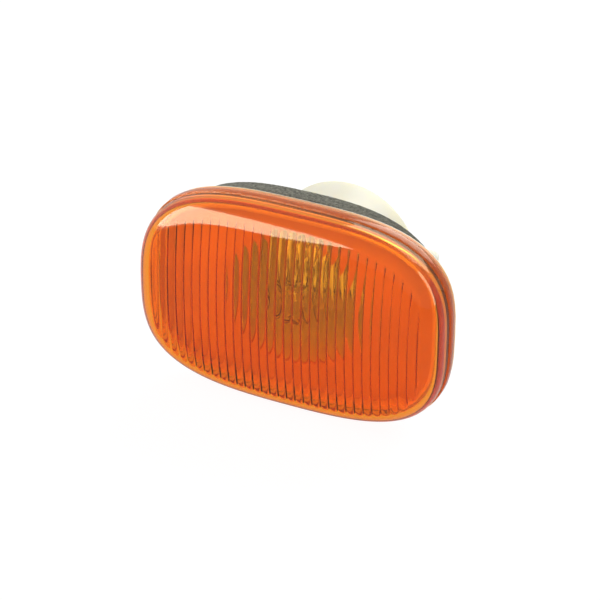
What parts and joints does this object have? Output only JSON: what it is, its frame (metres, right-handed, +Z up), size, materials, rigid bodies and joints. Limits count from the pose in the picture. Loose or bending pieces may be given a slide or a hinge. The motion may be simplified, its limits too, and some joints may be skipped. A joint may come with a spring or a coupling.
{
  "type": "side repeater lamp",
  "caption": "Clip-in amber side repeater lamp: fluted crowned lens on a cream housing with a foam gasket, snap clip, fixed hook and a twist-in bulb holder with wedge-base bulb.",
  "frame": {"origin": "on the cup's axis, on the plane where the gasket's back face meets the body panel, at the middle of the panel's hole", "axes": "the lens faces -Y and the lamp goes into the panel along +Y, +X runs along the lamp towards the snap arm, +Z is up"},
  "size_m": [0.0728, 0.0473, 0.0492],
  "materials": {
    "amber_lens": "clear amber, smooth outside and fluted inside",
    "cream_plastic": "cream moulded plastic, satin",
    "foam": "dark grey-green closed-cell foam",
    "pale_plastic": "pale grey moulded nylon, satin",
    "seal_rubber": "matt black rubber",
    "terminal_brass": "stamped brass strip",
    "clear_glass": "clear blown glass",
    "filament_wire": "coiled tungsten wire",
    "lead_wire": "plated lead wire"
  },
  "bodies": {
    "lamp": {"lens": "amber_lens", "housing": "cream_plastic", "gasket": "foam"},
    "holder": {"bulb_holder": "pale_plastic", "holder_seal": "seal_rubber", "terminal_left": "terminal_brass", "terminal_right": "terminal_brass", "bulb_glass": "clear_glass", "bulb_filament": "filament_wire", "bulb_lead_left": "lead_wire", "bulb_lead_right": "lead_wire"}
  },
  "joints": [
    {"name": "holder_twist", "type": "hinge", "parent": "lamp", "child": "holder", "pos_m": [0, 0.0198, 0], "axis": [0, 1, 0], "range_deg": [0, 40]}
  ]
}
